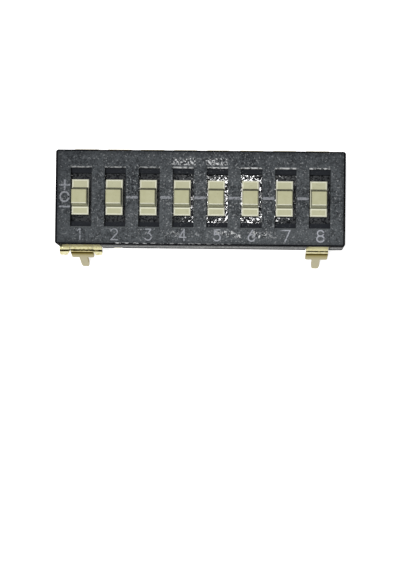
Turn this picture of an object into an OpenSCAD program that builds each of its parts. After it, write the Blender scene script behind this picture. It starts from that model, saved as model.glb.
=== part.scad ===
// Eight-position three-state slide switch for through-hole boards (plus, off, minus).
// X runs from position 1 to the last one, +Y points to the row of signal pins,
// and Z = 0 is the plane that the pin tips stand on.

/* [Layout] */
// Number of switch positions
positions = 8; // [5:1:10]
// Distance between neighbouring positions
pitch = 2.54; // [2.5:0.01:2.8]
// Distance of the pin rows outside the body's sides, at the top of the legs
pin_reach = 0.18; // [0.15:0.005:0.35]
// Length of the body beyond its positions times the pitch
end_margin = 1.5; // [1.3:0.01:1.7]
// Width of the body at the cover's lower rim
body_w = 7.26; // [7:0.01:8]
// Height from the underside of the base to the cover's face
body_h = 4.2; // [4.1:0.05:5]
// Height of the underside above the pin tips
leg_drop = 3.4; // [2.5:0.1:4]

/* [Cover] */
// How far each side leans in from the rim to the face
cover_draft = 0.1; // [0.05:0.01:0.12]
// Radius of the upright corners
corner_r = 0.2; // [0.1:0.01:0.3]
// Bevel round the face
face_bevel = 0.07; // [0.03:0.01:0.1]
// Thickness of the skirt round the base
skirt_t = 0.2; // [0.15:0.01:0.22]
// Height of the skirt's rim above the underside
rim_lift = 0.12; // [0.05:0.01:0.2]
// Depth below the face at which the grooves over the leads begin
groove_drop = 0.4; // [0.3:0.05:1]
// Width of a slider window
window_w = 1.58; // [1.52:0.01:1.7]
// Bevel at both ends of a window
window_bevel = 0.11; // [0.05:0.01:0.14]
// Depth of the channel that the slider's plate runs in
channel_depth = 0.5; // [0.49:0.01:0.55]
// Length of the ledge at each end of a channel
ledge_len = 0.37; // [0.3:0.01:0.42]
// Depth of the pocket between the ledges, below the face
pocket_depth = 0.9; // [0.8:0.01:1]
// Thickness of the pocket's floor
floor_t = 0.4; // [0.3:0.01:0.5]
// Width of the room that each moving contact has
chamber_w = 1.84; // [1.7:0.01:1.95]

/* [Slider] */
// Travel from the middle to each end
travel = 0.84; // [0.7:0.01:0.95]
// Width of the plate
plate_w = 1.27; // [1.2:0.01:1.35]
// Length of the plate
plate_len = 2.64; // [2.6:0.01:2.7]
// Thickness of the plate
plate_t = 0.27; // [0.22:0.01:0.27]
// Depth of the plate's top below the face
plate_drop = 0.2; // [0.15:0.01:0.2]
// Bevel round the top of the plate
plate_bevel = 0.07; // [0.03:0.01:0.1]
// Width of the knob
knob_w = 1.13; // [1:0.01:1.13]
// Length of the knob at its top
knob_len = 1.07; // [0.9:0.01:1.2]
// Length of the knob at its foot
knob_foot = 1.36; // [1.3:0.01:1.5]
// Height of the knob above the plate
knob_h = 1.13; // [0.9:0.01:1.3]
// Rounding bevel on the knob's top edges
knob_bevel = 0.05; // [0.02:0.01:0.08]
// Width of the stem
stem_w = 0.68; // [0.6:0.01:0.72]
// Length of the stem
stem_len = 0.8; // [0.7:0.01:0.8]
// How far the sliders lie to one side in their windows
side_play = 0.075; // [0:0.005:0.09]

/* [Moving contact] */
// Thickness of the contact strip
contact_t = 0.12; // [0.1:0.01:0.15]
// Width of the contact
contact_w = 1.3; // [1.2:0.01:1.35]
// Gap between the two fingers of an arm
finger_gap = 0.26; // [0.2:0.01:0.4]
// Reach of the arm that rests on the signal pad
signal_reach = 1.35; // [1.3:0.01:1.36]
// Radius of the curled finger tips
curl_r = 0.2; // [0.15:0.01:0.22]
// Half length of the contact's flat bridge
bridge_half = 0.62; // [0.55:0.01:0.7]
// Width of the slider's tenon through the bridge
tenon_w = 0.5; // [0.4:0.01:0.55]
// Length of the slider's tenon through the bridge
tenon_len = 0.5; // [0.4:0.01:0.6]
// Height of the staked head below the bridge
stake_h = 0.2; // [0.15:0.01:0.3]

/* [Terminals] */
// Thickness of the lead frame
lead_t = 0.25; // [0.2:0.01:0.28]
// Height of the lead frame's upper side above the underside
lead_rise = 0.8; // [0.75:0.01:0.9]
// Inner radius of the bends
bend_r = 0.08; // [0.06:0.01:0.12]
// Width of a shoulder
shoulder_w = 1.7; // [1.5:0.01:1.8]
// Depth of the shoulders below the underside
shoulder_drop = 1.05; // [0.6:0.05:1.2]
// Width of a leg
leg_w = 0.62; // [0.5:0.01:0.7]
// Width of a leg at its tip
tip_w = 0.46; // [0.35:0.01:0.5]
// Length of the taper at the tip
tip_taper = 0.6; // [0.4:0.05:1]
// Outward lean of the signal legs, in degrees
signal_splay = 6; // [2:1:10]
// Outward lean of the common legs, in degrees
common_splay = 14.5; // [2:0.5:15.5]
// Width of the signal pads inside the base
pad_w = 1.2; // [1.1:0.01:1.4]
// Distance of the signal pads' inner ends from the middle
pad_start = 0.05; // [0.03:0.01:0.1]
// Width of the strips under the moving contacts
strip_w = 1.0; // [0.95:0.01:1.04]
// How far the shoulders' roots reach into the base from its sides
root_len = 0.33; // [0.25:0.01:0.4]
// Gap between neighbouring strips of the lead frame
strip_gap = 0.13; // [0.1:0.01:0.15]
// Width of the plus strip's way out past the end of the minus strip
lead_out_w = 0.68; // [0.6:0.01:0.72]
// How far the plus pin stands off its position, towards the body's end
plus_shift = 0.27; // [0:0.01:0.3]
// Distance of the wide plus shoulder from the body's end
wide_inset = 0.08; // [0.05:0.01:0.12]
// Overhang of the wide plus shoulder towards position 2
wide_right = 1.32; // [1.2:0.01:1.6]
// Outward lean of the wide shoulder's two lobes, in degrees
lobe_splay = 35; // [20:1:45]
// Gap between the wide shoulder and its lobes
lobe_gap = 0.03; // [0.02:0.01:0.06]
// Length of the lobes below their bend
lobe_len = 0.5; // [0.3:0.05:0.6]
// How much narrower the lobes are at their lower edges
lobe_taper = 0.2; // [0:0.05:0.3]
// Width of the cut tie-bar stub
stub_w = 0.55; // [0.4:0.01:0.7]
// Radius of the corners of the shoulders
shoulder_r = 0.16; // [0.05:0.01:0.2]
// Width of a detent notch across a signal pad
detent_w = 0.24; // [0.15:0.01:0.3]
// Depth of a detent notch
detent_depth = 0.05; // [0.03:0.01:0.08]

/* [Base] */
// Radius of the base's corners
base_corner_r = 0.2; // [0.1:0.01:0.3]
// Radius of the holes that hold the lead frame in the mould
hole_r = 0.425; // [0.35:0.005:0.45]
// Distance of the signal row of holes from the middle
signal_hole_y = 0.6; // [0.55:0.01:0.65]
// Height of the snap beads on the base's ends
bead_h = 0.07; // [0.05:0.01:0.09]
// Length of the snap beads
bead_len = 3.2; // [2:0.1:5]
// Thickness of the snap beads
bead_t = 0.24; // [0.2:0.01:0.3]
// Width of the mould insert's engraved outline
insert_line = 0.07; // [0.05:0.01:0.1]
// Depth of the mould insert's engraved outline
insert_depth = 0.04; // [0.02:0.01:0.06]
// Length of the mould insert
insert_len = 5.33; // [4:0.01:6]
// Width of the mould insert
insert_w = 1.89; // [1.6:0.01:1.9]
// Distance of the mould insert's middle from the middle of the body
insert_y = 1.3; // [1.2:0.01:1.35]
// Radius of the mould insert's corners
insert_r = 0.5; // [0.3:0.01:0.8]
// Reach of the insert's round lug beyond its straight side
lug_reach = 1.02; // [0.8:0.01:1.1]
// Radius of the insert's round lug
lug_r = 0.54; // [0.4:0.01:0.6]
// Radius of the gate dimple
gate_r = 0.26; // [0.2:0.01:0.3]
// Depth of the gate dimple
gate_depth = 0.1; // [0.05:0.01:0.15]

/* [Clearances] */
// Gap between the base and the skirt
fit_gap = 0.025; // [0.01:0.005:0.04]
// Gap at each end of the slider's travel
end_gap = 0.03; // [0.02:0.01:0.05]
// Gap beside the stem, the contact and the leads
side_gap = 0.05; // [0.03:0.01:0.06]
// Gap between the contact and the cover, and under the finger tips
slide_gap = 0.03; // [0.02:0.005:0.04]

/* [Hidden] */

// heights
underside_z = leg_drop;
face_z = underside_z + body_h;
rim_z = underside_z + rim_lift;
lead_top = underside_z + lead_rise;
lead_bottom = lead_top - lead_t;
pocket_z = face_z - pocket_depth;
ceiling_z = pocket_z - floor_t;
plate_top = face_z - plate_drop;
plate_bottom = plate_top - plate_t;
bridge_top = ceiling_z - slide_gap;
bridge_bottom = bridge_top - contact_t;
shoulder_z = underside_z - shoulder_drop;
groove_top = face_z - groove_drop;
bend_z = lead_bottom - bend_r;

// plan sizes
body_len = positions * pitch + end_margin;
base_len = body_len - 2 * (skirt_t + fit_gap);
base_w = body_w - 2 * (skirt_t + fit_gap);
row_spacing = body_w + 2 * pin_reach;
channel_len = plate_len + 2 * (travel + end_gap);
stem_slot_len = stem_len + 2 * (travel + side_gap);
stem_slot_w = stem_w + 2 * (side_play + side_gap);

// the minus strip starts where the roots on its side end, the plus strip lies two travels further
// in, and the contact's second arm rests midway between them
root_y = base_w / 2 - root_len;
minus_y = strip_w / 2 - root_y;
plus_y = minus_y + 2 * travel;
common_reach = -minus_y - travel;
wide_edge = -root_y - strip_gap;
first_x = -(positions - 1) / 2 * pitch;
last_x = -first_x;
plus_pin_x = first_x - plus_shift;
wide_x0 = wide_inset - body_len / 2;
wide_x1 = first_x + wide_right;
strip_end = pad_w / 2;

// the way out keeps clear of the first contact, which lies side_play off the middle
lead_out_x1 = first_x - side_play - contact_w / 2 - side_gap;
lead_out_x0 = lead_out_x1 - lead_out_w;
minus_x0 = lead_out_x1 + strip_gap;
stub_x = first_x + pitch;
common_hole_positions = [1, 3, positions - 2, positions];

chamber_plus = signal_reach + travel + curl_r + contact_t + side_gap;
chamber_minus = common_reach + travel + curl_r + contact_t + side_gap;

curl_start = 200;    // where the round finger tips begin and end, in degrees
curl_end = 320;
curl_step = 15;
bead_root = 0.25;    // how far the section of a snap bead runs into the base
overcut = 1;         // how far a cutting tool runs past the face that it opens
slab = 0.01;         // thickness of the slabs that the cover's outside is drawn over
corner_fn = 32;
hole_fn = 48;

function position_x(i) = first_x + (i - 1) * pitch;

// ---------- shared shapes ----------

// A prism whose outline is given as [y, z] and which is w long along X
module across(w) rotate([90, 0, 90]) linear_extrude(w, center = true) children();

// A prism whose outline is given as [x, z] and which is l long along Y
module along(l) rotate([90, 0, 0]) linear_extrude(l, center = true) children();

// A box given by its lowest and highest corners
module block(low, high) translate(low) cube(high - low);

module rounded_plan(l, w, r) {
    square([l - 2 * r, w], center = true);
    square([l, w - 2 * r], center = true);
    for (sx = [-1, 1], sy = [-1, 1])
        translate([sx * (l / 2 - r), sy * (w / 2 - r)]) circle(r, $fn = corner_fn);
}

// ---------- cover ----------

module cover_slab(z, inset) translate([0, 0, z])
    linear_extrude(slab) rounded_plan(body_len - 2 * inset, body_w - 2 * inset, corner_r);

module cover_outside() hull() {
    cover_slab(rim_z, 0);
    cover_slab(face_z - face_bevel - slab, cover_draft);
    cover_slab(face_z - slab, cover_draft + face_bevel);
}

// Channel for the slider's plate, with a bevel at both ends of the window
module window_cut() {
    half = channel_len / 2;
    across(window_w) polygon([
        [-half, face_z - channel_depth], [half, face_z - channel_depth],
        [half, face_z - window_bevel], [half + window_bevel, face_z],
        [half + window_bevel, face_z + overcut], [-half - window_bevel, face_z + overcut],
        [-half - window_bevel, face_z], [-half, face_z - window_bevel]
    ]);
    pocket_half = half - ledge_len;
    block([-window_w / 2, -pocket_half, pocket_z], [window_w / 2, pocket_half, face_z]);
    block(
        [-stem_slot_w / 2, -stem_slot_len / 2, ceiling_z - overcut],
        [stem_slot_w / 2, stem_slot_len / 2, face_z]
    );
}

module contact_chamber() block(
    [-chamber_w / 2, -chamber_minus, rim_z], [chamber_w / 2, chamber_plus, ceiling_z]
);

module base_room() translate([0, 0, rim_z - overcut])
    linear_extrude(lead_top - rim_z + overcut)
        rounded_plan(base_len + 2 * fit_gap, base_w + 2 * fit_gap, base_corner_r + fit_gap);

// Opening in the skirt, up to height top, for a lead that leaves between x0 and x1 on side s
module lead_notch(x0, x1, s, top) block(
    [x0 - side_gap, s > 0 ? base_w / 2 : -body_w, rim_z - overcut],
    [x1 + side_gap, s > 0 ? body_w : -base_w / 2, top]
);

// Opening in the skirt's corner, where the wide shoulder reaches past the base's rounded corner
module corner_notch() block(
    [-body_len, -body_w, rim_z - overcut],
    [base_corner_r - base_len / 2, wide_edge + side_gap, lead_top]
);

// Snap beads on both ends of the base, grown by extra all round for their grooves in the cover
module beads(extra) for (s = [-1, 1])
    translate([s * base_len / 2, 0, underside_z + lead_rise / 2])
        along(bead_len + 2 * extra) polygon([
            [-s * bead_root, -bead_t / 2 - extra], [0, -bead_t / 2 - extra],
            [s * (bead_h + extra), 0],
            [0, bead_t / 2 + extra], [-s * bead_root, bead_t / 2 + extra]
        ]);

module cover() color("#3c4046") difference() {
    cover_outside();
    base_room();
    beads(fit_gap);
    for (i = [1:positions]) translate([position_x(i), 0, 0]) {
        window_cut();
        contact_chamber();
        lead_notch(-shoulder_w / 2, shoulder_w / 2, 1, groove_top);
    }
    lead_notch(side_gap - base_len / 2, wide_x1, -1, groove_top);
    corner_notch();
    lead_notch(last_x - shoulder_w / 2, last_x + shoulder_w / 2, -1, groove_top);
    lead_notch(stub_x - stub_w / 2, stub_x + stub_w / 2, -1, lead_top);
}

// ---------- terminals ----------

// Middle of the bend whose leg leans out by splay and starts on the pin row
function bend_y(splay) = row_spacing / 2 - (bend_r + lead_t / 2) * cos(splay);

// Length down a leg that leans by splay, from its bend to height z
function down_to(z, splay) = (bend_z + bend_r * sin(splay) - z) / cos(splay);

// Flat root from y0 outwards, bend and leg of a lead on the +Y side. The children are the outline
// of the flattened leg, with the end of the bend on the X axis and the tip below it.
module bent_leg(x0, x1, y0, splay) translate([0, bend_y(splay), bend_z]) {
    block([x0, y0 - bend_y(splay), bend_r], [x1, 0, bend_r + lead_t]);
    rotate([90, 0, 90]) translate([0, 0, x0]) rotate([0, 0, splay])
        rotate_extrude(angle = 90 - splay, $fn = hole_fn)
            translate([bend_r, 0]) square([lead_t, x1 - x0]);
    rotate([splay, 0, 0]) translate([0, bend_r + lead_t, 0])
        rotate([90, 0, 0]) linear_extrude(lead_t) children();
}

// Outline of a shoulder that runs down to depth, with round lower corners
module shoulder_outline(x0, x1, depth) {
    translate([x0, shoulder_r - depth]) square([x1 - x0, depth - shoulder_r]);
    translate([x0 + shoulder_r, -depth]) square([x1 - x0 - 2 * shoulder_r, depth]);
    for (x = [x0 + shoulder_r, x1 - shoulder_r])
        translate([x, shoulder_r - depth]) circle(shoulder_r, $fn = corner_fn);
}

// Outline of a leg with a tapered tip
module leg_outline(tip) polygon([
    [-leg_w / 2, 0], [-leg_w / 2, tip_taper - tip], [-tip_w / 2, -tip],
    [tip_w / 2, -tip], [leg_w / 2, tip_taper - tip], [leg_w / 2, 0]
]);

// Shoulder, leg and tip of one pin, with a flat root from y0
module pin(y0, splay) bent_leg(-shoulder_w / 2, shoulder_w / 2, y0, splay) {
    shoulder_outline(-shoulder_w / 2, shoulder_w / 2, down_to(shoulder_z, splay));
    leg_outline(down_to(0, splay));
}

// Outline of a lobe that is w wide at its bend, with its outer end at 0 and a slanting inner end
module lobe_outline(w) {
    polygon([
        [0, 0], [w, 0], [w - lobe_taper, -lobe_len], [shoulder_r, -lobe_len],
        [0, shoulder_r - lobe_len]
    ]);
    translate([shoulder_r, shoulder_r - lobe_len]) circle(shoulder_r, $fn = corner_fn);
}

// One lobe of the wide shoulder, from its outer end to its inner end
module lobe(outer, inner)
    bent_leg(min(outer, inner), max(outer, inner), -wide_edge, lobe_splay)
        translate([outer, 0]) mirror([outer < inner ? 0 : 1, 0]) lobe_outline(abs(inner - outer));

// Flat part of the lead frame between two corners
module strip(x0, y0, x1, y1) block([x0, y0, lead_bottom], [x1, y1, lead_top]);

module detent_notch(y) translate([0, y, lead_top]) across(pad_w + overcut)
    polygon([[-detent_w / 2, 0], [0, -detent_depth], [detent_w / 2, 0]]);

module signal_terminal_shape() difference() {
    union() {
        strip(-pad_w / 2, pad_start, pad_w / 2, base_w / 2);
        pin(root_y, signal_splay);
    }
    for (k = [-1:1]) detent_notch(signal_reach + k * travel);
}

module signal_terminal(i) color("#d8b64a") translate([position_x(i), 0, 0]) signal_terminal_shape();

// Plus strip: under all positions, round the minus strip's end and out at position 1
module plus_common_shape() {
    strip(lead_out_x0, plus_y - strip_w / 2, last_x + strip_end, plus_y + strip_w / 2);
    strip(lead_out_x0, -base_w / 2, lead_out_x1, plus_y);
    strip(wide_x0, -base_w / 2, wide_x1, wide_edge);
    mirror([0, 1, 0]) {
        lobe(wide_x0, plus_pin_x - shoulder_w / 2 - lobe_gap);
        lobe(wide_x1, plus_pin_x + shoulder_w / 2 + lobe_gap);
        translate([plus_pin_x, 0, 0]) pin(-wide_edge, common_splay);
    }
}

module plus_common_terminal() color("#d8b64a") plus_common_shape();

// Minus strip: under all positions and out at the last one, with the cut stub of a tie bar
module minus_common_shape() {
    strip(minus_x0, -root_y, last_x + shoulder_w / 2, minus_y + strip_w / 2);
    strip(stub_x - stub_w / 2, -body_w / 2, stub_x + stub_w / 2, minus_y);
    mirror([0, 1, 0]) translate([last_x, 0, 0]) pin(-minus_y, common_splay);
}

module minus_common_terminal() color("#d8b64a") minus_common_shape();

// ---------- base ----------

// Outline of the mould insert on the underside, drawn in by inset all round
module insert_outline(inset) {
    rounded_plan(insert_len - 2 * inset, insert_w - 2 * inset, insert_r - inset);
    translate([0, insert_w / 2]) {
        translate([0, lug_reach - lug_r]) circle(lug_r - inset, $fn = corner_fn);
        translate([0, (lug_reach - lug_r) / 2 - insert_r / 2])
            square([2 * (lug_r - inset), lug_reach - lug_r + insert_r], center = true);
    }
}

// Engraved line round the mould insert, and the dimple of the gate in the middle of the base
module mould_insert_mark() translate([0, 0, underside_z - overcut]) {
    linear_extrude(overcut + insert_depth) translate([0, -insert_y]) difference() {
        insert_outline(0);
        insert_outline(insert_line);
    }
    cylinder(h = overcut + gate_depth, r = gate_r, $fn = hole_fn);
}

module mould_hole(i, y) translate([position_x(i), y, underside_z - overcut])
    cylinder(h = overcut + lead_rise - lead_t, r = hole_r, $fn = hole_fn);

module base() color("#34373a") difference() {
    union() {
        translate([0, 0, underside_z]) linear_extrude(lead_rise)
            rounded_plan(base_len, base_w, base_corner_r);
        beads(0);
    }
    for (i = [1:positions]) translate([position_x(i), 0, 0]) {
        strip(-pad_w / 2, pad_start, pad_w / 2, base_w / 2);
        strip(-shoulder_w / 2, root_y, shoulder_w / 2, base_w / 2 + overcut);
    }
    plus_common_shape();
    minus_common_shape();
    for (i = [1:positions]) mould_hole(i, signal_hole_y);
    for (i = common_hole_positions, y = [plus_y, minus_y]) mould_hole(i, y);
    mould_insert_mark();
}

// ---------- slider ----------

module knob() intersection() {
    across(knob_w) polygon([
        [-knob_foot / 2, -plate_bevel], [knob_foot / 2, -plate_bevel], [knob_foot / 2, 0],
        [knob_len / 2, knob_h - knob_bevel], [knob_len / 2 - knob_bevel, knob_h],
        [-knob_len / 2 + knob_bevel, knob_h], [-knob_len / 2, knob_h - knob_bevel],
        [-knob_foot / 2, 0]
    ]);
    along(knob_foot + overcut) polygon([
        [-knob_w / 2, -plate_bevel], [knob_w / 2, -plate_bevel],
        [knob_w / 2, knob_h - knob_bevel], [knob_w / 2 - knob_bevel, knob_h],
        [-knob_w / 2 + knob_bevel, knob_h], [-knob_w / 2, knob_h - knob_bevel]
    ]);
}

// Section of the plate, l wide, with both upper edges bevelled
module plate_section(l) polygon([
    [-l / 2, -plate_t], [l / 2, -plate_t], [l / 2, -plate_bevel], [l / 2 - plate_bevel, 0],
    [-l / 2 + plate_bevel, 0], [-l / 2, -plate_bevel]
]);

module plate() intersection() {
    across(plate_w) plate_section(plate_len);
    along(plate_len) plate_section(plate_w);
}

module slider_shape() {
    translate([0, 0, plate_top]) {
        knob();
        plate();
    }
    block([-stem_w / 2, -stem_len / 2, bridge_top], [stem_w / 2, stem_len / 2, plate_bottom]);
    block(
        [-tenon_w / 2, -tenon_len / 2, bridge_bottom - stake_h],
        [tenon_w / 2, tenon_len / 2, bridge_top]
    );
    block(
        [-stem_w / 2, -stem_len / 2, bridge_bottom - stake_h],
        [stem_w / 2, stem_len / 2, bridge_bottom]
    );
}

module slider(i) color("#c6c6a0") translate([position_x(i) - side_play, 0, 0]) slider_shape();

// ---------- moving contact ----------

function unit(v) = v / norm(v);

function turned_left(v) = [-v[1], v[0]];

// Normal of path p at point i, lengthened so that a strip keeps its thickness round the corner
function strip_normal(p, i) = let (
    last = len(p) - 1,
    before = unit(p[max(i, 1)] - p[max(i, 1) - 1]),
    after = unit(p[min(i, last - 1) + 1] - p[min(i, last - 1)]),
    n = unit(turned_left(before) + turned_left(after))
) n / (n * turned_left(before));

function strip_outline(p, t) = let (last = len(p) - 1) concat(
    [for (i = [0:last]) p[i] + strip_normal(p, i) * t / 2],
    [for (i = [last:-1:0]) p[i] - strip_normal(p, i) * t / 2]
);

// Centreline of one arm as [y, z], from the bridge to the end of the curled tip
function arm_path(reach) = let (
    bridge_mid = bridge_top - contact_t / 2,
    curl_z = lead_top + slide_gap + contact_t / 2 + curl_r
) concat(
    [[bridge_half, bridge_mid]],
    [for (a = [curl_start:curl_step:curl_end]) [reach + curl_r * cos(a), curl_z + curl_r * sin(a)]]
);

function mirrored_reversed(p) = [for (i = [len(p) - 1:-1:0]) [-p[i][0], p[i][1]]];

module finger_slot(y0, y1) block(
    [-finger_gap / 2, y0, lead_top - overcut], [finger_gap / 2, y1, bridge_bottom - contact_t]
);

module moving_contact_shape() difference() {
    across(contact_w) polygon(strip_outline(
        concat(mirrored_reversed(arm_path(common_reach)), arm_path(signal_reach)), contact_t
    ));
    block(
        [-tenon_w / 2, -tenon_len / 2, bridge_bottom - overcut],
        [tenon_w / 2, tenon_len / 2, bridge_top + overcut]
    );
    finger_slot(bridge_half, chamber_plus);
    finger_slot(-chamber_minus, -bridge_half);
}

module moving_contact(i) color("#c98f3c") translate([position_x(i) - side_play, 0, 0])
    moving_contact_shape();

// ---------- the whole switch ----------

cover();
base();
plus_common_terminal();
minus_common_terminal();
for (i = [1:positions]) {
    signal_terminal(i);
    slider(i);
    moving_contact(i);
}
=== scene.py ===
import math

import bpy
import numpy as np
from mathutils import Matrix, Vector


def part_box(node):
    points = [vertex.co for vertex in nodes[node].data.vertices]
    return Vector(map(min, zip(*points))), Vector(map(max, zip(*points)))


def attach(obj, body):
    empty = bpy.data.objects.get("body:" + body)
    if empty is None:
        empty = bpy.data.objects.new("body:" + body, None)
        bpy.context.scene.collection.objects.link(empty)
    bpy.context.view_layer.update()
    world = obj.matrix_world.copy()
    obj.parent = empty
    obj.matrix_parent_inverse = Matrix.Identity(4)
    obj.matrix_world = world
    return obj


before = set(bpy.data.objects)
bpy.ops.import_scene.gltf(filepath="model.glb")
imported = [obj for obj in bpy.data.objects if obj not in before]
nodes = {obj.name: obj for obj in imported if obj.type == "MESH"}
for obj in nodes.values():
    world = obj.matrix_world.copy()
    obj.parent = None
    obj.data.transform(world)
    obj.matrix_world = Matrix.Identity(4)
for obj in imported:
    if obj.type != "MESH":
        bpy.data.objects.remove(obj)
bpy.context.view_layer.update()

mm = 0.001


# ---------- cover ----------
# The housing's black cover, moulded in one piece in a mould that was spark-eroded, so that its
# flat sides carry a fine glittering grain. Eight windows are open in its face.

def add(tree, kind, inputs=None, **settings):
    """One shader node. An input is a plain value, or the socket that feeds it."""
    made = tree.nodes.new(kind)
    for name, value in settings.items():
        setattr(made, name, value)
    for name, value in (inputs or {}).items():
        if isinstance(value, bpy.types.NodeSocket):
            tree.links.new(value, made.inputs[name])
        else:
            made.inputs[name].default_value = value
    return made


def math_node(tree, operation, a, b=0.0):
    """One step of arithmetic on values."""
    return add(tree, "ShaderNodeMath", {0: a, 1: b}, operation=operation).outputs[0]


def vector_node(tree, operation, a, b):
    """One step of arithmetic on vectors."""
    return add(tree, "ShaderNodeVectorMath", {0: a, 1: b}, operation=operation).outputs[0]


def scaled(tree, vector, scale):
    """The vector made longer or shorter."""
    return add(tree, "ShaderNodeVectorMath", {0: vector, "Scale": scale}, operation="SCALE").outputs[0]


def share(tree, mask, part):
    """The mask made weaker, to the given part of its strength."""
    return math_node(tree, "MULTIPLY", mask, part)


def product(tree, *masks):
    """All the masks multiplied."""
    value = masks[0]
    for one in masks[1:]:
        value = math_node(tree, "MULTIPLY", value, one)
    return value


def strongest(tree, *masks):
    """The highest of the masks at each point."""
    value = masks[0]
    for one in masks[1:]:
        value = math_node(tree, "MAXIMUM", value, one)
    return value


def flipped(tree, mask):
    """1 where the mask is 0, and 0 where it is 1."""
    return math_node(tree, "SUBTRACT", 1.0, mask)


def size_of(tree, value):
    """The value without its sign."""
    return math_node(tree, "ABSOLUTE", value)


def ramp(tree, value, low, high):
    """0 below low, 1 above high, and a smooth step between them."""
    made = add(tree, "ShaderNodeMapRange", {"Value": value, "From Min": low, "From Max": high},
               interpolation_type="SMOOTHSTEP")
    return made.outputs["Result"]


def falling(tree, value, low, high):
    """1 below low, 0 above high, and a smooth step between them."""
    return flipped(tree, ramp(tree, value, low, high))


def band(tree, value, low, high, soft=0.01):
    """1 from low to high, falling to 0 over a soft edge at each end."""
    return product(tree, ramp(tree, value, low - soft, low), falling(tree, value, high, high + soft))


def mixed(tree, mask, a, b):
    """Colour a where the mask is 0, colour b where it is 1."""
    return add(tree, "ShaderNodeMix", {0: mask, 6: a, 7: b}, data_type="RGBA").outputs[2]


def layered(tree, colour, *layers):
    """The colour with layers laid over it in turn. A layer is its mask, how much of what lies below
    it hides where the mask is 1, and its colour."""
    for mask, cover, over in layers:
        colour = mixed(tree, share(tree, mask, cover), colour, over)
    return colour


def object_point(tree):
    """Object coordinates in millimetres."""
    return scaled(tree, add(tree, "ShaderNodeTexCoord").outputs["Object"], 1 / mm)


def place(tree):
    """Object coordinates in millimetres as x, y and z."""
    return add(tree, "ShaderNodeSeparateXYZ", {0: object_point(tree)}).outputs


def flat_normal(tree):
    """The direction in which the flat face of the mesh points."""
    return add(tree, "ShaderNodeNewGeometry").outputs["True Normal"]


def facing_of(tree):
    """That direction as X, Y and Z."""
    return add(tree, "ShaderNodeSeparateXYZ", {0: flat_normal(tree)}).outputs


def noise(tree, point, scale, detail, roughness):
    """Noise from 0 to 1 with its features 1 / scale of the point's unit across."""
    made = add(tree, "ShaderNodeTexNoise",
               {"Vector": point, "Scale": scale, "Detail": detail, "Roughness": roughness})
    return made.outputs["Fac"]


def new_group(name, inputs, outputs):
    """An empty shader group with its named inputs and outputs, and the group's two end nodes."""
    tree = bpy.data.node_groups.new(name, "ShaderNodeTree")
    for label, value in inputs.items():
        made = tree.interface.new_socket(name=label, in_out="INPUT", socket_type="NodeSocketFloat")
        made.default_value = value
    for label, kind in outputs.items():
        tree.interface.new_socket(name=label, in_out="OUTPUT", socket_type=kind)
    return tree, add(tree, "NodeGroupInput").outputs, add(tree, "NodeGroupOutput").inputs


def grouped(tree, group, **inputs):
    """The outputs of a group placed in a tree with its own values, such as Lean=0.04."""
    named = {name.replace("_", " "): value for name, value in inputs.items()}
    return add(tree, "ShaderNodeGroup", named, node_tree=group).outputs


# Spark-eroded grain: its height, the speckle of craters and rims, the flecks where a rim glints, which
# are painted glints in the colour, and broad clouds where the mould was rougher.
eroded_grain, given, result = new_group(
    "eroded_grain", {"Fleck share": 0.3},
    {"Height": "NodeSocketFloat", "Speckle": "NodeSocketFloat", "Flecks": "NodeSocketFloat",
     "Clouds": "NodeSocketFloat"})
point = object_point(eroded_grain)
pits = noise(eroded_grain, point, 8.0, 2.0, 0.6)
coarse = noise(eroded_grain, point, 3.0, 2.0, 0.5)
height = math_node(eroded_grain, "ADD", pits, share(eroded_grain, coarse, 0.6))
eroded_grain.links.new(height, result["Height"])
speckle = math_node(eroded_grain, "ADD", share(eroded_grain, pits, 0.62),
                    share(eroded_grain, coarse, 0.38))
eroded_grain.links.new(ramp(eroded_grain, speckle, 0.40, 0.58), result["Speckle"])
rims = noise(eroded_grain, point, 8.5, 2.0, 0.5)
fleck_level = math_node(eroded_grain, "SUBTRACT", 0.90, given["Fleck share"])
fleck_top = math_node(eroded_grain, "ADD", fleck_level, 0.10)
eroded_grain.links.new(ramp(eroded_grain, rims, fleck_level, fleck_top), result["Flecks"])
clouds = noise(eroded_grain, point, 0.42, 3.0, 0.55)
eroded_grain.links.new(ramp(eroded_grain, clouds, 0.35, 0.68), result["Clouds"])

# Facets: small cells of a creased or crushed surface. Each has a value of its own, and leans a
# little its own way, so that some of them mirror a lamp and their neighbours don't.
facets, given, result = new_group(
    "facets", {"Cells per mm": 10.0, "Lean": 0.05},
    {"Value": "NodeSocketFloat", "Normal": "NodeSocketVector"})
cells = add(facets, "ShaderNodeTexVoronoi",
            {"Vector": object_point(facets), "Scale": given["Cells per mm"]}).outputs["Color"]
lean = scaled(facets, vector_node(facets, "SUBTRACT", cells, (0.5, 0.5, 0.5)), given["Lean"])
leaning = vector_node(facets, "ADD", flat_normal(facets), lean)
facets.links.new(add(facets, "ShaderNodeVectorMath", {0: leaning}, operation="NORMALIZE").outputs[0],
                 result["Normal"])
facets.links.new(add(facets, "ShaderNodeSeparateXYZ", {0: cells}).outputs["Z"], result["Value"])

# Soft edge of a moulded or stamped piece: the rounded normal, and a mask that is 1 on the edge.
soft_edge, given, result = new_group(
    "soft_edge", {"Radius in mm": 0.03}, {"Normal": "NodeSocketVector", "Edge": "NodeSocketFloat"})
radius = share(soft_edge, given["Radius in mm"], mm)
rounded = add(soft_edge, "ShaderNodeBevel", {"Radius": radius}, samples=6).outputs["Normal"]
turn = add(soft_edge, "ShaderNodeVectorMath", {0: rounded, 1: flat_normal(soft_edge)},
           operation="DOT_PRODUCT").outputs["Value"]
soft_edge.links.new(rounded, result["Normal"])
soft_edge.links.new(ramp(soft_edge, flipped(soft_edge, turn), 0.01, 0.22), result["Edge"])


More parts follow.
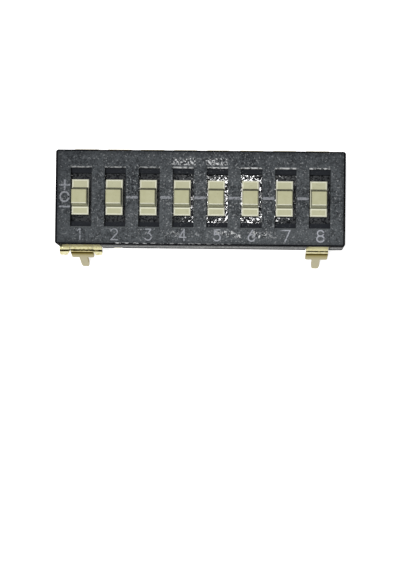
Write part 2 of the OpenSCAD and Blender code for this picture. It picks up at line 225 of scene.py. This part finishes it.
def new_material(name):
    """An empty material with its Principled shader joined to the output."""
    made = bpy.data.materials.new(name)
    made.use_nodes = True
    tree = made.node_tree
    tree.nodes.clear()
    shader = add(tree, "ShaderNodeBsdfPrincipled")
    tree.links.new(shader.outputs[0], add(tree, "ShaderNodeOutputMaterial").inputs["Surface"])
    return made, tree, shader


def bumped(tree, shader, depth, height, normal=None):
    """Gives the shader a bump of the depth in millimetres, on a normal if one is given."""
    inputs = {"Strength": 1.0, "Distance": depth * mm, "Height": height}
    if normal:
        inputs["Normal"] = normal
    tree.links.new(add(tree, "ShaderNodeBump", inputs).outputs["Normal"], shader.inputs["Normal"])


def finish(piece, made):
    """Puts the material on every slot of the piece."""
    if not piece.material_slots:
        piece.data.materials.append(made)
    for one in piece.material_slots:
        one.material = made


def eroded_colour(tree, grain, dark, plain, pale, glint_fleck):
    """Colour of the grain: dark pits and plain tops, paler in clouds, with pale flecks painted as
    glints.
    """
    colour = mixed(tree, grain["Speckle"], dark, plain)
    return layered(tree, colour, (grain["Clouds"], 0.4, pale), (grain["Flecks"], 0.75, glint_fleck))


cover_low, cover_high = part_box("cover")
face_z = cover_high.z
face_mm = face_z / mm
skirt_z = cover_low.z / mm
side_x, side_y = cover_high.x / mm, cover_high.y / mm
side_lean = 0.17        # how far the face stays inside the rim, with its bevel
lip_depth = 0.16        # how far the bevels of the lips reach down from the face
plate_depth = 0.20      # how far the sliders' plates lie below the face
ledge_depth = 0.50
pocket_depth = 0.90
glare_x = 1.6         # middle of the painted glare on the face
window_ends = (2.50, 2.90)                  # strips past the windows' ends, from the middle line
near_sparkle_run = (1.5, 4.8)                   # where painted sparkle runs along the near strip
far_sparkle_runs = ((-2.2, -0.5), (0.5, 1.9))    # and along the far one
near_glint_run, faint_glint_run = (-6.2, -3.2), (-3.0, 2.0)    # runs of painted glints along the face's near edge
# The face's greys stand well above the plastic's own near black that the windows show: part of their
# grey is painted sheen.
pit_black = (0.014, 0.016, 0.018, 1)
grain_black = (0.072, 0.080, 0.087, 1)
cloud_grey = (0.110, 0.119, 0.127, 1)
glint_fleck_grey = (0.27, 0.28, 0.29, 1)
edge_black = (0.010, 0.012, 0.014, 1)
dim_black = (0.022, 0.025, 0.029, 1)
glare_scribble_grey = (0.50, 0.51, 0.52, 1)
gap_black = (0.006, 0.007, 0.008, 1)
glint_grey = (0.55, 0.56, 0.57, 1)
painted_glint_grey = (0.62, 0.63, 0.64, 1)
lit_lip_grey = (0.13, 0.14, 0.15, 1)
window_black = (0.004, 0.0045, 0.006, 1)
crease_grey = (0.07, 0.075, 0.08, 1)
ledge_black = (0.016, 0.018, 0.022, 1)
skirt_black = (0.026, 0.027, 0.026, 1)
line_black = (0.001, 0.001, 0.002, 1)

cover_plastic, tree, shader = new_material("cover_plastic")
shader.inputs["Specular IOR Level"].default_value = 0.15
x, y, z = place(tree)
point = object_point(tree)
facing = facing_of(tree)

# Where the surface lies: how far in from the face's ends and sides, on the face or below it,
# inside the rim or on the outer sides, and on a lip's bevel.
from_ends = math_node(tree, "SUBTRACT", side_x - side_lean, size_of(tree, x))
from_sides = math_node(tree, "SUBTRACT", side_y - side_lean, size_of(tree, y))
near_half = falling(tree, y, -0.5, 0.0)
far_half = flipped(tree, near_half)
below_face = falling(tree, z, face_mm - lip_depth, face_mm - lip_depth + 0.10)
on_face = flipped(tree, below_face)
within = product(tree, ramp(tree, from_ends, 0.05, 0.15), ramp(tree, from_sides, 0.05, 0.15))
tilted = band(tree, facing["Z"], 0.5, 0.85, 0.1)

# Painted glare in the middle of the face: more flecks painted as glints, and thin bright scribbles and
# sparkle beside the windows' ends, with dark specks between the sparkle. Its left end and far strip are
# a little darker.
lamp_glare = falling(tree, size_of(tree, math_node(tree, "SUBTRACT", x, glare_x)), 1.5, 7.0)
fleck_share = math_node(tree, "ADD", share(tree, lamp_glare, 0.025), 0.300)
grain = grouped(tree, eroded_grain, Fleck_share=fleck_share)
left_end = falling(tree, x, -10.5, -6.5)
far_strip = ramp(tree, y, 1.2, 2.6)
near_strip = product(tree, falling(tree, y, -2.6, -1.4), flipped(tree, left_end))
patches = ramp(tree, noise(tree, point, 0.7, 1.0, 0.5), 0.49, 0.57)
near_patch = product(tree, patches, near_half)
far_patch = product(tree, far_half, strongest(tree, band(tree, x, *far_sparkle_runs[0], 0.3),
                                              band(tree, x, *far_sparkle_runs[1], 0.2)))
glare_patch = product(tree, band(tree, size_of(tree, y), *window_ends, 0.12),
                    ramp(tree, lamp_glare, 0.35, 0.8), strongest(tree, near_patch, far_patch))
creep = noise(tree, point, 3.2, 2.0, 0.55)
glare_scribbles = product(tree, band(tree, creep, 0.490, 0.506), glare_patch)
sparkle_cells = grouped(tree, facets, Cells_per_mm=9.0)["Value"]
sparkle_area = product(tree, glare_patch, strongest(tree, band(tree, x, *near_sparkle_run, 0.3), far_half))
sparkle = product(tree, sparkle_area, ramp(tree, sparkle_cells, 0.74, 0.78))
sparkle_gaps = product(tree, sparkle_area, falling(tree, sparkle_cells, 0.20, 0.24))
# A run of painted glints along the face's near edge.
along_edge = vector_node(tree, "MULTIPLY", point, (4.2, 9.0, 1.0))
near_glints = product(tree, band(tree, from_sides, 0.01, 0.06, 0.02), near_half, on_face,
                      strongest(tree, band(tree, x, *near_glint_run, 0.2),
                                share(tree, band(tree, x, *faint_glint_run, 0.5), 0.4)),
                      ramp(tree, noise(tree, along_edge, 1.0, 2.0, 0.6), 0.48, 0.56))

# Windows: the floors of the pockets are smooth and creased, so that they glitter. The ledges are plain,
# the far lips carry a ragged painted highlight, the near lips are painted lighter as lit, and the
# walls' tops are black.
inside = product(tree, below_face, within, flipped(tree, tilted))
ledge = product(tree, inside,
                band(tree, z, face_mm - ledge_depth - 0.05, face_mm - ledge_depth + 0.05),
                ramp(tree, facing["Z"], 0.5, 0.9))
pocket = product(tree, inside,
                 falling(tree, z, face_mm - pocket_depth + 0.10, face_mm - pocket_depth + 0.15))
creased = grouped(tree, facets, Cells_per_mm=11.0, Lean=0.036)
creases = product(tree, pocket, ramp(tree, creased["Value"], 0.22, 0.66))
ragged = ramp(tree, noise(tree, point, 5.0, 3.0, 0.6), 0.35, 0.6)
brighter_right = math_node(tree, "ADD", share(tree, ramp(tree, x, -3.5, -1.5), 0.45), 0.55)
# A ragged painted highlight on the far lips, brighter to the right, and painted light on the near lips.
far_lip_highlight = product(tree, tilted, within, ramp(tree, y, 0.0, 0.5), ragged, brighter_right)
lit_near_lip = product(tree, tilted, within, near_half)
wall_top = product(tree, inside, ramp(tree, z, face_mm - 0.38, face_mm - 0.30))

# Outer edges: a black line round the face, and below it the skirt, black at its top and its foot
# and satin between them.
outside = product(tree, below_face, flipped(tree, within))
skirt_top = product(tree, outside, ramp(tree, z, face_mm - 1.6, face_mm - 0.3))
lower_rim = product(tree, outside, falling(tree, z, skirt_z + 0.7, skirt_z + 1.2),
                    ramp(tree, noise(tree, point, 1.1, 1.0, 0.5), 0.26, 0.42))
inset = math_node(tree, "MINIMUM", from_ends, from_sides)
rim_line = math_node(tree, "MINIMUM", from_ends, math_node(tree, "ADD", from_sides, 0.05))
face_rim = product(tree, on_face, falling(tree, rim_line, 0.06, 0.10))
edge_shade = product(tree, on_face, falling(tree, inset, 0.0, 0.40))
matt = strongest(tree, face_rim, share(tree, skirt_top, 0.8), share(tree, lower_rim, 0.8), wall_top)

colour = layered(tree, eroded_colour(tree, grain, pit_black, grain_black, cloud_grey, glint_fleck_grey),
                 (edge_shade, 0.5, edge_black),
                 (left_end, 0.25, dim_black),
                 (far_strip, 0.28, dim_black),
                 (near_strip, 0.18, cloud_grey),
                 (glare_scribbles, 0.8, glare_scribble_grey),
                 (sparkle_gaps, 0.7, gap_black),
                 (sparkle, 0.9, painted_glint_grey),
                 (lit_near_lip, 0.6, lit_lip_grey),
                 (inside, 1.0, window_black),
                 (creases, 0.5, crease_grey),
                 (ledge, 1.0, ledge_black),
                 (outside, 0.6, skirt_black),
                 (matt, 1.0, line_black),
                 (near_glints, 1.0, glint_grey),
                 (far_lip_highlight, 1.0, painted_glint_grey))
tree.links.new(colour, shader.inputs["Base Color"])
rough = math_node(tree, "SUBTRACT", 0.70, share(tree, grain["Flecks"], 0.45))
rough = math_node(tree, "SUBTRACT", rough, share(tree, creases, 0.70))
rough = math_node(tree, "SUBTRACT", rough, share(tree, outside, 0.28))
rough = math_node(tree, "ADD", rough, share(tree, matt, 0.65))
tree.links.new(math_node(tree, "MAXIMUM", rough, 0.07), shader.inputs["Roughness"])
relief = product(tree, grain["Height"], flipped(tree, share(tree, below_face, 0.85)),
                 flipped(tree, pocket))
edges = grouped(tree, soft_edge, Radius_in_mm=0.035)
normal = mixed(tree, pocket, edges["Normal"], creased["Normal"])
bumped(tree, shader, 0.014, relief, normal)
finish(nodes["cover"], cover_plastic)


# ---------- base ----------
# The flat plate that closes the housing from below, moulded round the lead frame in the same
# black plastic with a coarser grain. Round holes show where the mould held the lead frame.

base_plastic, tree, shader = new_material("base_plastic")
shader.inputs["Specular IOR Level"].default_value = 0.25
grain = grouped(tree, eroded_grain, Fleck_share=0.33)
# Its pale flecks are painted glints.
colour = eroded_colour(tree, grain, (0.012, 0.013, 0.014, 1), (0.038, 0.041, 0.042, 1),
                       (0.070, 0.074, 0.075, 1), (0.19, 0.20, 0.20, 1))
tree.links.new(colour, shader.inputs["Base Color"])
rough = math_node(tree, "SUBTRACT", 0.66, share(tree, grain["Flecks"], 0.40))
tree.links.new(rough, shader.inputs["Roughness"])
edges = grouped(tree, soft_edge, Radius_in_mm=0.035)
bumped(tree, shader, 0.016, grain["Height"], edges["Normal"])
finish(nodes["base"], base_plastic)


# ---------- terminals ----------
# The lead frame, stamped from thin brass strip and plated: duller and paler down the legs, with tarnish
# in patches. Painted highlights brighten the bends and the right pin's strip, and painted dark
# reflections, shadows and shade line the bends, the strip's root and the shoulders.

lead_out_z = 4.2        # upper side of the lead frame
bend_end_z = 3.95       # where the bends end and the shoulders begin
shoulder_foot_z = 2.55
plus_pin_x = -9.16
lobe_from, lobe_to = 0.95, 2.0     # the wide shoulder's lobes, as distances from its pin
root_from, root_to = 3.37, 3.43    # where the strip comes out of the skirt, from the middle line
bend_from, bend_to = 3.60, 3.76    # the lit part of the bends
dark_line_from, dark_line_to = 3.72, 3.80      # a painted dark reflection along each bend
lobe_shift, left_shift = 0.03, 0.055   # how much further out that line is on the lobes and the left pin
left_low, right_high = 0.09, 0.035    # how much lower or higher the shoulders begin on each pin
right_short = 0.20                 # how much shorter the shade below the bend is on the right pin
dull_strip = (0.60, 0.56, 0.34, 1)
lit_brass = (0.98, 0.93, 0.55, 1)
bright_brass = (0.86, 0.82, 0.54, 1)
spotted_brass = (0.50, 0.43, 0.14, 1)
dark_brass = (0.012, 0.008, 0.001, 1)
olive_brass = (0.20, 0.17, 0.06, 1)
brown_brass = (0.36, 0.31, 0.14, 1)
shoulder_brass = (0.43, 0.40, 0.24, 1)
leg_brass = (0.56, 0.55, 0.45, 1)

terminal_metal, tree, shader = new_material("terminal_metal")
x, y, z = place(tree)
point = object_point(tree)
facing = facing_of(tree)
from_middle = size_of(tree, y)
left_pin = falling(tree, x, -1.0, 1.0)
right_pin = flipped(tree, left_pin)
on_lobe = band(tree, size_of(tree, math_node(tree, "SUBTRACT", x, plus_pin_x)), lobe_from, lobe_to)
leg = falling(tree, z, shoulder_foot_z - 0.3, shoulder_foot_z + 0.9)
strip = ramp(tree, z, lead_out_z - 0.015, lead_out_z - 0.005)
# The right pin's strip and the bends are painted bright as lit.
lit_right_strip = product(tree, strip, right_pin)
lit_bend = band(tree, from_middle, bend_from, bend_to, 0.06)
sloping = product(tree, ramp(tree, facing["Z"], 0.03, 0.08), falling(tree, facing["Z"], 0.42, 0.5))
bend_z = math_node(tree, "ADD", z, share(tree, left_pin, left_low))
bend_z = math_node(tree, "SUBTRACT", bend_z, share(tree, right_pin, right_high))
shoulder = product(tree, sloping, falling(tree, bend_z, bend_end_z - 0.02, bend_end_z + 0.02))
cut_side = ramp(tree, size_of(tree, facing["X"]), 0.5, 0.7)

# Tarnish and spots, kept off the right pin's strip so that its painted highlight stays bright, and the
# dark lines: a painted dark reflection along each bend, painted shadow at the strip's root under the
# skirt, and painted shade below the bends, which is wider on the left.
off_lit_strip = flipped(tree, share(tree, lit_right_strip, 0.8))
tarnish = ramp(tree, noise(tree, point, 3.2, 4.0, 0.65), 0.45, 0.70)
spots = product(tree, ramp(tree, noise(tree, point, 6.5, 2.0, 0.6), 0.50, 0.60), flipped(tree, leg),
                flipped(tree, shoulder))
# Painted shadow where the strip comes out under the skirt.
root_shadow = product(tree, strip, falling(tree, from_middle, root_from, root_to))
# A painted dark reflection along each bend.
from_dark_line = math_node(tree, "SUBTRACT", from_middle, share(tree, on_lobe, lobe_shift))
from_dark_line = math_node(tree, "SUBTRACT", from_dark_line, share(tree, left_pin, left_shift))
dark_reflection_line = strongest(tree, band(tree, from_dark_line, dark_line_from, dark_line_to),
                     product(tree, left_pin, band(tree, from_dark_line, dark_line_from, dark_line_to + 0.05)))
dots = ramp(tree, noise(tree, point, 5.5, 2.0, 0.6), 0.42, 0.47)
shade_z = math_node(tree, "SUBTRACT", z, share(tree, right_pin, right_short))
shade_top = product(tree, shoulder, ramp(tree, shade_z, bend_end_z - 0.56, bend_end_z - 0.40))
shade_below = product(tree, shoulder, ramp(tree, shade_z, bend_end_z - 1.0, bend_end_z - 0.5))
dark_lines = strongest(tree, product(tree, dark_reflection_line, dots), root_shadow, shade_top)
# Painted shade along the legs' edges.
shaded_leg_edge = grouped(tree, soft_edge, Radius_in_mm=0.06)["Edge"]

colour = layered(tree, mixed(tree, strip, bright_brass, dull_strip),
                 (strongest(tree, lit_bend, lit_right_strip), 0.8, lit_brass),
                 (product(tree, spots, off_lit_strip), 0.45, spotted_brass),
                 (product(tree, tarnish, off_lit_strip), 0.5, brown_brass),
                 (shoulder, 1.0, shoulder_brass),
                 (shade_below, 0.85, olive_brass),
                 (leg, 1.0, leg_brass),
                 (cut_side, 0.8, brown_brass),
                 (product(tree, shaded_leg_edge, leg), 0.6, brown_brass),
                 (dark_reflection_line, 0.95, olive_brass),
                 (dark_lines, 1.0, dark_brass))
tree.links.new(colour, shader.inputs["Base Color"])
shader.inputs["Specular Tint"].default_value = (0.70, 0.61, 0.40, 1)
pale_part = share(tree, strongest(tree, strip, lit_bend), 0.85)
tree.links.new(flipped(tree, pale_part), shader.inputs["Metallic"])
dull = strongest(tree, leg, shoulder, cut_side)
rough = math_node(tree, "ADD", share(tree, dull, 0.25), 0.15)
rough = math_node(tree, "ADD", rough, share(tree, tarnish, 0.08))
tree.links.new(rough, shader.inputs["Roughness"])
edges = grouped(tree, soft_edge, Radius_in_mm=0.02)
dents = noise(tree, point, 5.0, 3.0, 0.6)
bumped(tree, shader, 0.006, dents, edges["Normal"])
for name, piece in nodes.items():
    if name.endswith("_terminal") or name.startswith("signal_terminal"):
        finish(piece, terminal_metal)


# ---------- moving contacts ----------
# Forked bronze springs inside the housing, staked to the sliders' stems. They are thin rolled strip
# with a fine lengthwise grain, and are seen only through the slots of the pockets.

contact_metal, tree, shader = new_material("contact_metal")
rolled = vector_node(tree, "MULTIPLY", object_point(tree), (12.0, 1.5, 12.0))
grain_lines = noise(tree, rolled, 1.0, 3.0, 0.6)
colour = mixed(tree, ramp(tree, grain_lines, 0.3, 0.8), (0.80, 0.55, 0.26, 1), (0.90, 0.68, 0.38, 1))
tree.links.new(colour, shader.inputs["Base Color"])
shader.inputs["Metallic"].default_value = 1.0
shader.inputs["Roughness"].default_value = 0.28
bumped(tree, shader, 0.002, grain_lines)
for name, piece in nodes.items():
    if name.startswith("moving_contact"):
        finish(piece, contact_metal)


# ---------- sliders ----------
# Ivory sliders, each moulded as one piece: a bevelled plate that runs in the channel and a tall square
# knob. Their plastic is satin and a little mottled. Painted highlights make its edges, the plate's rim
# and the knobs' near bevels paler, and the knobs' near faces are painted lighter as lit. Painted shade
# and shadow darken the knobs' far and side faces, their far bevels and the creases at their feet.

first_low, first_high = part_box("slider_1")
last_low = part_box("slider_8")[0]
side_play = 0.075 * mm    # how far the sliders lie to one side in their windows
first_x = (first_low.x + first_high.x) / 2 + side_play
pitch = (last_low.x - first_low.x) / 7
plate_top = face_mm - plate_depth
knob_top = first_high.z / mm
knob_foot = 0.68        # half length of the knob at its foot
top_end = 0.475         # half length of the flat part of its top
plate_rim_x, plate_rim_y = 0.51, 1.20    # where the plate's painted highlight rim begins
plate_ivory = (0.462, 0.460, 0.312, 1)
knob_ivory = (0.418, 0.412, 0.256, 1)
mottled_ivory = (0.53, 0.53, 0.37, 1)
lit_near_ivory = (0.60, 0.60, 0.40, 1)
highlight_ivory = (0.86, 0.86, 0.72, 1)
speck_brown = (0.25, 0.24, 0.13, 1)
shaded_ivory = (0.006, 0.0055, 0.002, 1)

slider_plastic, tree, shader = new_material("slider_plastic")
shader.inputs["Specular IOR Level"].default_value = 0.25
x, y, z = place(tree)
point = object_point(tree)
facing = facing_of(tree)
mottle = ramp(tree, noise(tree, point, 2.4, 3.0, 0.55), 0.3, 0.75)
specks = ramp(tree, noise(tree, point, 6.0, 2.0, 0.6), 0.62, 0.70)
on_plate = falling(tree, z, plate_top + 0.02, plate_top + 0.05)
on_knob = flipped(tree, on_plate)
into_cell = math_node(tree, "SUBTRACT", x, (first_x - pitch / 2 - side_play) / mm)
across = math_node(tree, "SUBTRACT", math_node(tree, "MODULO", into_cell, pitch / mm), pitch / mm / 2)
across = size_of(tree, across)
plate_rim = ramp(tree, strongest(tree, math_node(tree, "SUBTRACT", across, plate_rim_x),
                                 math_node(tree, "SUBTRACT", size_of(tree, y), plate_rim_y)), 0.0, 0.03)
# Painted highlights on the plate's rim and in a line before the knob's foot.
near_lit_line = band(tree, y, -knob_foot - 0.14, -knob_foot - 0.07)
lit_plate_lines = product(tree, on_plate, strongest(tree, plate_rim, near_lit_line))
# Painted shade on the knobs' far faces.
shaded_far_face = product(tree, on_knob, ramp(tree, facing["Y"], 0.5, 0.8))
# Painted light on the knobs' near faces.
lit_near_face = product(tree, on_knob, falling(tree, facing["Y"], -0.8, -0.5))
lit_near_bevel = product(tree, falling(tree, facing["Y"], -0.4, -0.2),
                     ramp(tree, z, knob_top - 0.08, knob_top - 0.06))
# Painted shadow on the far bevel of the knob's top and in the creases at the knob's foot.
far_bevel_shadow = product(tree, ramp(tree, y, top_end, top_end + 0.01),
                    ramp(tree, z, knob_top - 0.16, knob_top - 0.12))
far_crease_shadow = product(tree, band(tree, y, knob_foot - 0.08, knob_foot + 0.03),
                     falling(tree, z, plate_top + 0.2, plate_top + 0.3),
                     falling(tree, across, 0.575, 0.60))
near_crease_shade = product(tree, band(tree, y, -knob_foot - 0.04, -knob_foot + 0.03, 0.02),
                      falling(tree, z, plate_top + 0.15, plate_top + 0.25))
# Painted shade on the knobs' side faces, fading up them.
shaded_knob_side = product(tree, on_knob, ramp(tree, size_of(tree, facing["X"]), 0.5, 0.8),
                    flipped(tree, share(tree, ramp(tree, z, plate_top + 0.25, plate_top + 0.6), 0.75)))
# Its edges get a painted highlight, as well as a rounded normal.
edges = grouped(tree, soft_edge, Radius_in_mm=0.05)

colour = layered(tree, mixed(tree, on_plate, knob_ivory, plate_ivory),
                 (mottle, 0.35, mottled_ivory),
                 (specks, 0.22, speck_brown),
                 (shaded_knob_side, 0.9, shaded_ivory),
                 (edges["Edge"], 0.55, highlight_ivory),
                 (lit_plate_lines, 0.7, highlight_ivory),
                 (lit_near_face, 0.6, lit_near_ivory),
                 (shaded_far_face, 0.3, shaded_ivory),
                 (lit_near_bevel, 0.9, highlight_ivory),
                 (strongest(tree, far_crease_shadow, far_bevel_shadow), 0.97, shaded_ivory),
                 (near_crease_shade, 0.6, shaded_ivory))
tree.links.new(colour, shader.inputs["Base Color"])
shader.inputs["Roughness"].default_value = 0.5
bumped(tree, shader, 0.004, noise(tree, point, 16.0, 2.0, 0.6), edges["Normal"])
for name, piece in nodes.items():
    if name.startswith("slider"):
        finish(piece, slider_plastic)


# ---------- printed marks ----------
# Plain marks printed on the face in one thin pale ink: a number under each slider, plus, zero and
# minus beside the first one, and level lines between the windows. The ink is worn off the grain.

ink_above = 0.004 * mm    # height of the print over the face
ink_below = 0.002 * mm
ink_step = 0.0015 * mm    # each stroke of a mark lies this much higher than the last
blunt = 0.02              # keeps a stroke's round ends from closing to a point


def arc(cx, cy, rx, ry, start, end):
    """A stroke along an ellipse round (cx, cy) from the start to the end angle, in degrees."""
    steps = max(int(abs(end - start) / 12), 2)
    a = np.radians(np.linspace(start, end, steps + 1))
    return [np.stack([cx + rx * np.cos(a), cy + ry * np.sin(a)], axis=1)]


def line(*corners):
    """A straight stroke from each given corner to the next."""
    return [np.array(pair, float) for pair in zip(corners, corners[1:])]


def resampled(path, step):
    """The same stroke with points at even steps along it."""
    lengths = np.linalg.norm(np.diff(path, axis=0), axis=1)
    along = np.concatenate([[0.0], np.cumsum(lengths)])
    count = max(int(along[-1] / step), 4)
    at = np.linspace(0.0, along[-1], count + 1)
    return np.stack([np.interp(at, along, path[:, k]) for k in (0, 1)], axis=1), at


def stroke_mesh(path, width, top):
    """A flat slab of ink along a stroke: four lines of points run beside the path, half a width to
    each side, below and above. Past each end of the path the slab narrows as a circle does."""
    radius = width / 2
    ahead = (path[-1] - path[-2]) / np.linalg.norm(path[-1] - path[-2])
    behind = (path[0] - path[1]) / np.linalg.norm(path[0] - path[1])
    longer = np.concatenate([[path[0] + behind * radius], path, [path[-1] + ahead * radius]])
    path, at = resampled(longer, width * 0.2)
    heading = np.gradient(path, axis=0)
    heading /= np.linalg.norm(heading, axis=1)[:, None] + 1e-12
    side = np.stack([-heading[:, 1], heading[:, 0]], axis=1)
    inside = np.clip(1.0 - np.minimum(at, at[-1] - at) / radius, 0.0, 1.0)
    half = radius * np.sqrt(np.clip(1.0 - inside ** 2, blunt, 1.0))
    left, right = path + side * half[:, None], path - side * half[:, None]
    columns = [(left, -ink_below), (left, top), (right, top), (right, -ink_below)]
    points = np.stack([np.column_stack([xy, np.full(len(xy), face_z + z)]) for xy, z in columns],
                      axis=1)
    rows = len(path)
    index = np.arange(rows * 4).reshape(rows, 4)
    next_column = np.roll(index, -1, axis=1)
    quads = np.stack([index[:-1], index[1:], next_column[1:], next_column[:-1]], axis=-1).reshape(-1, 4)
    ends = np.array([index[0], index[-1][::-1]])
    return points.reshape(-1, 3), np.concatenate([quads, ends])


def ink_piece(name, strokes, width):
    """One piece of print from several strokes, each one a hair above the one before."""
    points, quads, first = [], [], 0
    for order, one in enumerate(strokes):
        p, q = stroke_mesh(one, width, ink_above + order * ink_step)
        points.append(p)
        quads.append(q + first)
        first += len(p)
    mesh = bpy.data.meshes.new(name)
    mesh.from_pydata(np.concatenate(points).tolist(), [], np.concatenate(quads).tolist())
    mesh.update()
    piece = bpy.data.objects.new(name, mesh)
    bpy.context.scene.collection.objects.link(piece)
    finish(piece, ink)
    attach(piece, "housing")


# The ink: worn through in spots, except on the last number, and clearer on the numbers to the right.
clear_from = -9.0    # from here to the right the numbers' ink gets clearer
fresh_from = 7.8     # and from here on it is hardly worn
worn_ink = (0.060, 0.064, 0.072, 1)
dull_ink = (0.235, 0.245, 0.27, 1)
clear_ink = (0.34, 0.35, 0.39, 1)

ink, tree, shader = new_material("worn_ink")
x, y = place(tree)[:2]
fresh = ramp(tree, x, fresh_from, fresh_from + 0.5)
clearer = product(tree, ramp(tree, x, clear_from, fresh_from), falling(tree, y, -2.0, -1.5))
kept_ink = strongest(tree, ramp(tree, noise(tree, object_point(tree), 8.0, 2.0, 0.65), 0.32, 0.52),
                     share(tree, fresh, 0.85))
colour = layered(tree, mixed(tree, kept_ink, worn_ink, dull_ink),
                 (product(tree, clearer, kept_ink), 1.0, clear_ink))
tree.links.new(colour, shader.inputs["Base Color"])
shader.inputs["Roughness"].default_value = 0.55
bumped(tree, shader, 0.010, grouped(tree, eroded_grain)["Height"])

# Numbers on a grid one unit high and 0.62 wide, each as a list of strokes.
digits = {
    1: line((0.12, 0.76), (0.33, 0.94), (0.33, 0.06)),
    2: arc(0.31, 0.69, 0.26, 0.25, 165, -38) + line((0.515, 0.536), (0.06, 0.06), (0.58, 0.06)),
    3: line((0.08, 0.93), (0.52, 0.93), (0.28, 0.58)) + arc(0.28, 0.32, 0.27, 0.27, 90, -150),
    4: line((0.42, 0.06), (0.42, 0.94), (0.04, 0.30), (0.58, 0.30)),
    5: line((0.54, 0.93), (0.14, 0.93), (0.10, 0.54)) + arc(0.29, 0.32, 0.27, 0.27, 132, -150),
    6: arc(0.31, 0.31, 0.26, 0.26, 0, 360) + line((0.07, 0.42), (0.40, 0.94)),
    7: line((0.00, 0.93), (0.62, 0.93), (0.24, 0.03)),
    8: arc(0.31, 0.73, 0.25, 0.22, 0, 360) + arc(0.31, 0.28, 0.29, 0.24, 0, 360),
}
digit_h = 0.93 * mm
digit_middle = 0.31     # of the height, from a number's left side
digit_ink = 0.092 * mm
digit_y = -2.77 * mm
first_digit_x = first_x - 0.06 * mm
digit_pitch = pitch + 0.020 * mm    # the print runs a little wider than the windows
for number, strokes in digits.items():
    corner = np.array([first_digit_x + (number - 1) * digit_pitch - digit_middle * digit_h,
                       digit_y - digit_h / 2])
    ink_piece(f"number_{number}", [corner + digit_h * one for one in strokes], digit_ink)

state_x = -10.12 * mm
plus_y, minus_y = 0.88 * mm, -0.74 * mm
state_half = 0.36 * mm
zero_half = 0.32 * mm
state_ink = 0.13 * mm
ink_piece("plus_mark", line((state_x - state_half, plus_y), (state_x + state_half, plus_y))
          + line((state_x, plus_y - state_half), (state_x, plus_y + state_half)), state_ink)
ink_piece("zero_mark", arc(state_x, 0, zero_half, state_half, 0, 360), state_ink)
ink_piece("minus_mark", line((state_x - state_half, minus_y), (state_x + state_half, minus_y)),
          state_ink)

land_half = 0.35 * mm
level_ink = 0.20 * mm
for k in range(2, 8):
    middle = first_x + (k - 0.5) * pitch
    ink_piece(f"level_line_{k}", line((middle - land_half, 0), (middle + land_half, 0)), level_ink)


# ---------- floor and light ----------
# A plain white floor under the pins' tips, a soft lamp from the near left, a small lamp beside the
# camera that glints on the grain, and pale light from all round.

room_colour, room_strength = (0.95, 0.97, 1.0, 1), 0.24
floor_glow, mirrored_glow = 0.75, 0.12    # light that the floor adds to the eye, and in reflections

world = bpy.data.worlds.new("pale_room")
bpy.context.scene.world = world
world.use_nodes = True
tree = world.node_tree
tree.nodes.clear()
path = add(tree, "ShaderNodeLightPath").outputs
seen = strongest(tree, path["Is Camera Ray"], path["Is Glossy Ray"], path["Is Transmission Ray"])
room = add(tree, "ShaderNodeBackground", {"Color": room_colour, "Strength": room_strength}).outputs[0]
white = add(tree, "ShaderNodeBackground", {"Strength": 1.0}).outputs[0]
seen_room = add(tree, "ShaderNodeMixShader", {0: seen, 1: room, 2: white}).outputs[0]
tree.links.new(seen_room, add(tree, "ShaderNodeOutputWorld").inputs["Surface"])

floor_half = 0.5
corners = [(-floor_half, -floor_half, 0), (floor_half, -floor_half, 0),
           (floor_half, floor_half, 0), (-floor_half, floor_half, 0)]
floor_mesh = bpy.data.meshes.new("floor")
floor_mesh.from_pydata(corners, [], [(0, 1, 2, 3)])
floor = bpy.data.objects.new("floor", floor_mesh)
bpy.context.scene.collection.objects.link(floor)
floor_paint, tree, shader = new_material("floor_paint")
shader.inputs["Base Color"].default_value = (0.90, 0.90, 0.90, 1)
shader.inputs["Roughness"].default_value = 0.9
shader.inputs["Emission Color"].default_value = (1, 1, 1, 1)
path = add(tree, "ShaderNodeLightPath").outputs
mirrored = strongest(tree, path["Is Glossy Ray"], path["Is Transmission Ray"])
lit = math_node(tree, "ADD", share(tree, path["Is Camera Ray"], floor_glow),
                share(tree, mirrored, mirrored_glow))
tree.links.new(lit, shader.inputs["Emission Strength"])
finish(floor, floor_paint)


def lamp(name, toward, distance, size, power, colour):
    """A square soft lamp that stands in the given direction and faces the switch. Its distance and
    size are in metres."""
    data = bpy.data.lights.new(name, "AREA")
    data.size, data.energy, data.color = size, power, colour
    made = bpy.data.objects.new(name, data)
    bpy.context.scene.collection.objects.link(made)
    stand = Vector(toward).normalized() * distance + Vector((0, 0, face_z))
    turned = Vector(toward).to_track_quat("Z", "Y").to_matrix()
    made.matrix_world = Matrix.Translation(stand) @ turned.to_4x4()
    return made


soft_key = lamp("soft_key", toward=(-0.14, -0.06, 0.988), distance=0.30, size=0.065, power=0.68,
                colour=(1.0, 0.99, 0.97))
soft_key.visible_glossy = False    # the white room alone is mirrored in the metal
lamp("glint_lamp", toward=(0.017, 0.075, 0.99), distance=0.13, size=0.0065, power=0.0200,
     colour=(1.0, 1.0, 1.0))


# ---------- camera ----------
# The camera looks almost straight down from 120 mm above the face, a little from the near right.

camera_data = bpy.data.cameras.new("camera")
camera = bpy.data.objects.new("camera", camera_data)
bpy.context.scene.collection.objects.link(camera)
bpy.context.scene.camera = camera
camera_data.sensor_width = 36.0
camera_data.lens = 102.01
camera_data.clip_start = 0.005
camera_data.clip_end = 5.0
camera_place = Vector((3.145, -9.050, 127.6)) * mm
aim = Vector((0.0638, -6.4897, 7.6)) * mm
roll = math.radians(-0.662)
back = (camera_place - aim).normalized()
right = Vector((math.sin(roll), math.cos(roll), 0)).cross(back).normalized()
turned = Matrix((right, back.cross(right), back)).transposed()
camera.matrix_world = Matrix.Translation(camera_place) @ turned.to_4x4()

bpy.context.scene.view_settings.view_transform = "Standard"
